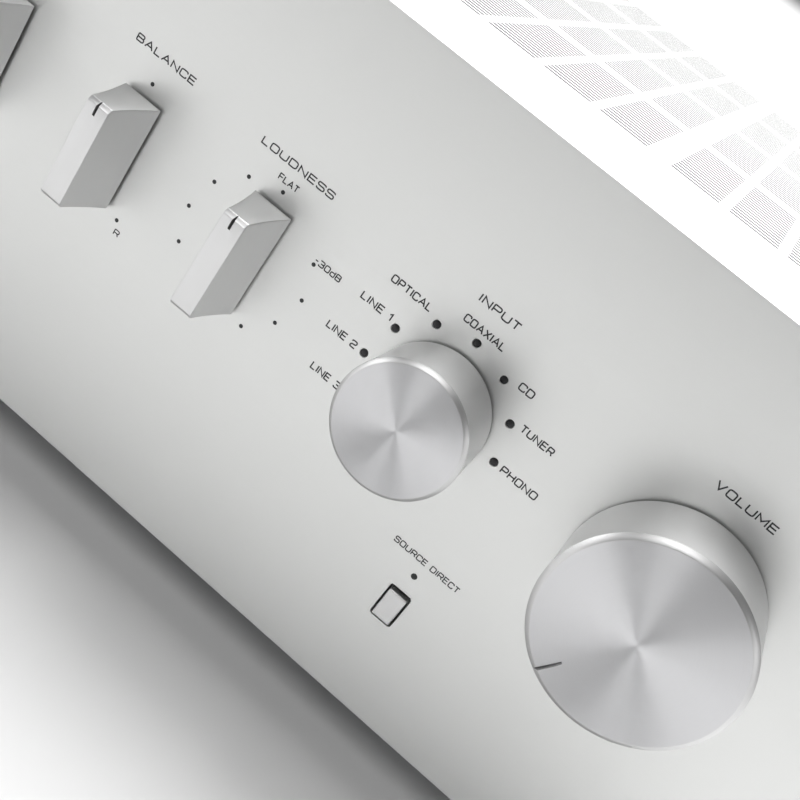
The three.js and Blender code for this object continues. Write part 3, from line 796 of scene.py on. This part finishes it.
def make_button(name):
    low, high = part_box(f"{name}_button")
    cap_back = PANEL_HIGH.y - (3.3 if name == "power" else 2.3) * MM
    bm = bmesh.new()
    add_block(bm, low, (high.x, cap_back, high.z))
    obj = piece(f"{name}_key", bm, [BLADE], name, "knob_aluminium", f"{name}_button")
    bevelled(obj, 0.35 * MM, 4)
    at = BUTTON_AT[name]
    half = 1.7 * MM
    bm = bmesh.new()
    add_block(bm, (at.x - half, cap_back - 0.5 * MM, at.z - half), (at.x + half, high.y, at.z + half))
    stem = piece(f"{name}_stem", bm, [BLACK], name, "black_plastic")
    bevelled(stem, 0.2 * MM, 2)


# ---- cover ----
def block_edges():
    start = -(MIDDLE_BLOCKS * BLOCK_PITCH - (BLOCK_PITCH - BLOCK_WIDTH)) / 2
    lefts = [start + i * BLOCK_PITCH for i in range(MIDDLE_BLOCKS)]
    for i in range(SIDE_BLOCKS):
        left = -start + GROUP_GAP + i * BLOCK_PITCH
        lefts += [left, -left - BLOCK_WIDTH]
    return sorted(lefts)


def slot_edges():
    pitch = (BLOCK_DEPTH - SLOT_WIDTH) / (SLOTS_PER_BLOCK - 1)
    return [
        PANEL_FACE + ROW_SETBACK + row * ROW_PITCH + i * pitch
        for row in range(SLOT_ROWS)
        for i in range(SLOTS_PER_BLOCK)
    ]


def make_cover():
    half, top, bottom = COVER_HIGH.x, COVER_HIGH.z, COVER_LOW.z
    bend, steps = 2.5 * MM, 6
    path = [(-half, bottom, False)]
    for i in range(steps + 1):
        a = math.radians(90 * i / steps)
        path.append((-half + bend * (1 - math.cos(a)), top - bend * (1 - math.sin(a)), False))
    for left in block_edges():
        path.append((left, top, True))
        path.append((left + BLOCK_WIDTH, top, False))
    for i in range(steps + 1):
        a = math.radians(90 * i / steps)
        path.append((half - bend * (1 - math.sin(a)), top - bend * (1 - math.cos(a)), False))
    path.append((half, bottom, False))
    stations = [(COVER_LOW.y, False)]
    for front in slot_edges():
        stations += [(front, True), (front + SLOT_WIDTH, False)]
    stations.append((COVER_HIGH.y, False))
    bm = bmesh.new()
    grid = [[bm.verts.new((x, y, z)) for x, z, _ in path] for y, _ in stations]
    for j in range(len(stations) - 1):
        for i in range(len(path) - 1):
            if stations[j][1] and path[i][2]:
                continue
            bm.faces.new((grid[j][i], grid[j][i + 1], grid[j + 1][i + 1], grid[j + 1][i]))
    obj = piece("cover", bm, [COVER_PAINT, SLOT_PAINTED_SHADE], "case", "cover_paint", "top_cover", sharp=40)
    middle = obj.data.polygons[len(obj.data.polygons) // 2].normal.z
    made = obj.modifiers.new("sheet", "SOLIDIFY")
    made.thickness = SHEET
    made.offset = -1 if middle > 0 else 1
    # the rim faces, that is the slot walls and the outer cut edges, get the dark painted shade
    made.material_offset_rim = 1
    frozen(obj)
    obj.data.set_sharp_from_angle(angle=math.radians(40))


def add_screw(bm, at, direction, radius=3.4 * MM, height=1.6 * MM):
    """A pan-head screw with a round recess in the middle of its head."""
    profile = (
        (0, height * 0.45),
        (radius * 0.32, height * 0.5),
        (radius * 0.36, height),
        (radius * 0.7, height * 0.9),
        (radius * 0.95, height * 0.5),
        (radius, 0),
        (0, 0),
    )
    add_turned(bm, profile, at, direction, segments=24)


def make_screws():
    bm = bmesh.new()
    for side in (-1, 1):
        for y in (-0.12, 0.0, 0.13):
            at = Vector((side * COVER_HIGH.x, y, 0.045))
            add_screw(bm, at, Vector((side, 0, 0)))
    piece("cover_screws", bm, [NICKEL], "case", "galvanised")
    bm = bmesh.new()
    low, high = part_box("rear_panel")
    for x in (-0.2, -0.13, 0.02, 0.11, 0.2):
        add_screw(bm, Vector((x, REAR_FACE, high.z - 6 * MM)), REAR, 2.6 * MM, 1.4 * MM)
        add_screw(bm, Vector((x, REAR_FACE, low.z + 6 * MM)), REAR, 2.6 * MM, 1.4 * MM)
    piece("rear_screws", bm, [BLACK], "case", "rear_paint")
    bm = bmesh.new()
    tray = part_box("chassis_tray")[0].z
    for x in (-0.19, -0.06, 0.06, 0.19):
        for y in (-0.155, 0.0, 0.155):
            add_screw(bm, Vector((x, y, tray)), -UP, 3 * MM, 1.5 * MM)
    piece("tray_screws", bm, [NICKEL], "case", "galvanised")


def make_foot(name):
    low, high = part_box(name)
    at = Vector(((low.x + high.x) / 2, (low.y + high.y) / 2, 0))
    r, h = (high.x - low.x) / 2, high.z
    profile = (
        (0, 0.8 * MM),
        (r * 0.55, 0.8 * MM),
        (r * 0.6, 0),
        (r * 0.8, 0),
        (r * 0.83, 0.6 * MM),
        (r * 0.86, 2.5 * MM),
        (r * 0.9, 2.8 * MM),
        (r * 0.99, h - 1.2 * MM),
        (r * 0.96, h),
        (0, h),
    )
    bm = bmesh.new()
    add_turned(bm, profile, at, UP, 64, bands=(0, 0, 0, 0, 0, 1, 1, 1, 1))
    piece(f"{name}_body", bm, [RUBBER, BLACK], "case", "foot_plastic", name, sharp=35)


# ---- rear sockets ----
RCA_BLOCKS = (("source_jacks", 4, 2), ("record_jacks", 3, 2))
RCA_PITCH = (18 * MM, 17 * MM)


def rca_places(node, columns, rows):
    at = centre(node)
    for i in range(columns):
        for j in range(rows):
            x = at.x + (i - (columns - 1) / 2) * RCA_PITCH[0]
            yield Vector((x, REAR_FACE, at.z + (j - (rows - 1) / 2) * RCA_PITCH[1])), j


def make_rca_shells():
    bm = bmesh.new()
    places = [p for spec in RCA_BLOCKS for p in rca_places(*spec)]
    places.append((Vector((centre("digital_jacks").x - 12 * MM, REAR_FACE, centre("digital_jacks").z)), 2))
    shell = ((4.45, 1.0), (4.45, 8.6), (4.2, 8.95), (3.9, 8.95), (3.9, 1.0))
    insert = ((3.85, 8.2), (3.85, 8.6), (1.75, 8.6), (1.75, 8.2))
    for at, row in places:
        add_turned(bm, [(r * MM, d * MM) for r, d in shell], at, segments=32)
        colour = {0: 1, 1: 2, 2: 3}[row]
        add_turned(bm, [(r * MM, d * MM) for r, d in insert], at, segments=32, bands=(colour,) * 4)
    piece("jack_shells", bm, [NICKEL, RED, WHITE, GILT], "case", "gilt")


def make_terminal(name, colour):
    low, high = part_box(name)
    at = Vector(((low.x + high.x) / 2, low.y, (low.z + high.z) / 2))
    r, deep = (high.x - low.x) / 2 - 0.05 * MM, high.y - low.y
    profile = (
        (2.9 * MM, 0),
        (r * 0.82, 0),
        (r * 0.86, 1.0 * MM),
        (r * 0.86, 2.2 * MM),
        (r, 2.8 * MM),
        (r, deep - 2.2 * MM),
        (r * 0.9, deep - 0.9 * MM),
        (r * 0.62, deep - 0.5 * MM),
        (r * 0.58, deep),
        (2.9 * MM, deep),
    )
    bm = bmesh.new()
    bands = (1, 1, 1, 0, 0, 0, 0, 1, 1, 1)
    add_turned(bm, profile, at, segments=72, bands=bands, ripple=(18, 0.35 * MM))
    piece(f"{name}_grip", bm, [colour, GILT], name, "gilt", name, sharp=40)


def make_inlet_pins():
    """Metal over the inlet's pins, which the socket's solid holds."""
    at = centre("ac_inlet")
    mouth = REAR_FACE + 4 * MM
    bm = bmesh.new()
    for side in (-1, 1):
        x = at.x + side * 7 * MM
        low = (x - 1.06 * MM, mouth - 16.9 * MM, at.z - 2.56 * MM)
        add_block(bm, low, (x + 1.06 * MM, mouth - 1.94 * MM, at.z + 2.56 * MM))
    obj = piece("inlet_pins", bm, [NICKEL], "case", "galvanised")
    bevelled(obj, 0.3 * MM, 3)


def make_jack_ring():
    at = Vector((JACK_AT.x, PANEL_FACE, JACK_AT.z))
    bm = bmesh.new()
    ring = ((3.3, 0.6), (3.3, -0.35), (3.9, -0.85), (6.4, -0.85), (6.9, -0.5), (6.9, 0.0), (5.0, 0.0))
    add_turned(bm, [(r * MM, d * MM) for r, d in ring], at, segments=64)
    piece("phones_ring", bm, [NICKEL], "case", "knob_aluminium", sharp=35)


def make_ground_knob():
    low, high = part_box("ground_screw")
    at = Vector(((low.x + high.x) / 2, REAR_FACE, (low.z + high.z) / 2))
    r, end = (high.x - low.x) / 2 - 0.05 * MM, high.y - REAR_FACE
    profile = (
        (0, low.y - REAR_FACE),
        (1.9 * MM, low.y - REAR_FACE),
        (1.9 * MM, 0.4 * MM),
        (r * 0.9, 0.4 * MM),
        (r, 1.2 * MM),
        (r, end - 1.4 * MM),
        (r * 0.85, end),
        (0, end - 0.3 * MM),
    )
    bm = bmesh.new()
    add_turned(bm, profile, at, segments=60, ripple=(20, 0.25 * MM))
    piece("ground_knob", bm, [NICKEL], "ground", "gilt", "ground_screw")


REAR_WORDS = {
    "source_jacks": ("PHONO", "CD", "TUNER", "LINE 1"),
    "record_jacks": ("LINE 2", "LINE 3", "PRE OUT"),
}


def make_rear_printing():
    bm = bmesh.new()

    def words(text, middle, base, width):
        x0, x1 = middle - width * MM / 2, middle + width * MM / 2
        add_text(bm, text, x0, x1, base, 2.4 * MM, REAR_FACE, -1)

    for node, names in REAR_WORDS.items():
        at, high = centre(node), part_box(node)[1]
        for i, text in enumerate(names):
            x = at.x - (i - (len(names) - 1) / 2) * RCA_PITCH[0]
            words(text, x, high.z + 3 * MM, 1.9 * len(text))
    at, high = centre("digital_jacks"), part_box("digital_jacks")[1]
    words("COAXIAL", at.x - 12 * MM, high.z + 2.5 * MM, 13)
    words("OPTICAL", at.x + 10 * MM, high.z + 2.5 * MM, 13)
    at, high = centre("speaker_terminals"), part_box("speaker_terminals")[1]
    words("SPEAKERS", at.x, high.z + 4 * MM, 22)
    words("A", high.x + 5 * MM, centre("speaker_cap_a1").z - 1.2 * MM, 2.4)
    words("B", high.x + 5 * MM, centre("speaker_cap_b1").z - 1.2 * MM, 2.4)
    words("AC IN", centre("ac_inlet").x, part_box("ac_inlet")[1].z + 4 * MM, 11)
    words("GND", centre("ground_screw").x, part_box("ground_screw")[1].z + 3 * MM, 6.5)
    piece("rear_printing", bm, [WHITE_INK], "case", "rear_paint")


# ---- solids that stay as they are, with a finish of their own ----
def finish_nodes():
    finishes = {
        "sub_panel": GALVANISED,
        "chassis_tray": GALVANISED,
        "rear_panel": REAR_PAINT,
        "input_light_guide": SMOKED,
        "volume_motor": STEEL,
        "phones_jack": BLACK,
        "power_switch": BLACK,
        "pure_direct_switch": BLACK,
        "control_board": BOARD,
        "main_board": BOARD,
        "heat_sink": SINK,
        "output_transistor_left": BLACK,
        "output_transistor_right": BLACK,
        "filter_capacitor_left": SLEEVE,
        "filter_capacitor_right": SLEEVE,
        "transformer_core": LAMINATED,
        "transformer_winding": WINDING,
        "source_jacks": BLACK,
        "record_jacks": BLACK,
        "digital_jacks": BLACK,
        "speaker_terminals": BLACK,
        "ac_inlet": BLACK,
    }
    for name in ROTARIES:
        finishes[f"{name}_shaft"] = STEEL
        finishes[f"{name}_control"] = GALVANISED
    for node, material in finishes.items():
        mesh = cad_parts[node].data
        mesh.materials.clear()
        mesh.materials.append(material)


# ---- floor and light ----
def make_stage():
    bm = bmesh.new()
    reach = 12.0
    corners = ((-reach, -reach), (reach, -reach), (reach, reach), (-reach, reach))
    bm.faces.new([bm.verts.new((x, y, 0)) for x, y in corners])
    mesh = bpy.data.meshes.new("floor")
    bm.to_mesh(mesh)
    bm.free()
    made = Finish("floor_paper", grey(0.78), 0.0, 0.6)
    mesh.materials.append(made.rough(made.noise((0.02, 0.02, 0.02)), 0.55, 0.65).material)
    floor = bpy.data.objects.new("floor", mesh)
    bpy.context.scene.collection.objects.link(floor)
    world = bpy.data.worlds.new("world")
    bpy.context.scene.world = world
    world.use_nodes = True
    world.node_tree.nodes["Background"].inputs["Color"].default_value = (1, 1, 1, 1)
    world.node_tree.nodes["Background"].inputs["Strength"].default_value = WORLD_LIGHT


def softbox(name, at, towards, size, watts):
    data = bpy.data.lights.new(name, "AREA")
    data.shape = "RECTANGLE"
    data.size, data.size_y = size
    data.energy = watts
    light = bpy.data.objects.new(name, data)
    aim = (Vector(towards) - Vector(at)).to_track_quat("-Z", "Y")
    light.matrix_world = Matrix.Translation(at) @ aim.to_matrix().to_4x4()
    bpy.context.scene.collection.objects.link(light)


def make_lights():
    bpy.context.scene.view_settings.view_transform = "Standard"
    softbox("top_box", (0.1, 0.3, 1.4), (0.1, -0.1, 0.0), (1.1, 1.0), 34)
    softbox("back_box", (0.6, 2.0, 1.6), (0.5, 1.6, 0.0), (1.6, 1.0), 42)
    softbox("far_box", (-0.3, 5.0, 3.0), (-0.3, 5.0, 0.0), (4.0, 4.0), 260)
    softbox("front_box", (-0.3, -1.3, 1.3), (-0.2, -0.8, 0.0), (0.9, 0.6), 9)
    softbox("left_strip", (-1.1, -0.75, 0.35), (0.0, -0.3, 0.08), (0.5, 0.4), 3.5)
    softbox("right_strip", (1.1, -0.7, 0.3), (0.2, -0.3, 0.05), (0.4, 0.4), 1.2)


make_camera()
make_stage()
make_lights()
make_panel()
make_lenses()
make_panel_printing()
make_dials()
for tone in TONES:
    make_blade(tone)
for key in BUTTONS:
    make_button(key)
make_cover()
make_screws()
for foot in FEET:
    make_foot(foot)
make_rca_shells()
for row in "ab":
    for number in range(1, 5):
        make_terminal(f"speaker_cap_{row}{number}", RED if number % 2 else BLACK)
make_inlet_pins()
make_jack_ring()
make_ground_knob()
make_rear_printing()
finish_nodes()
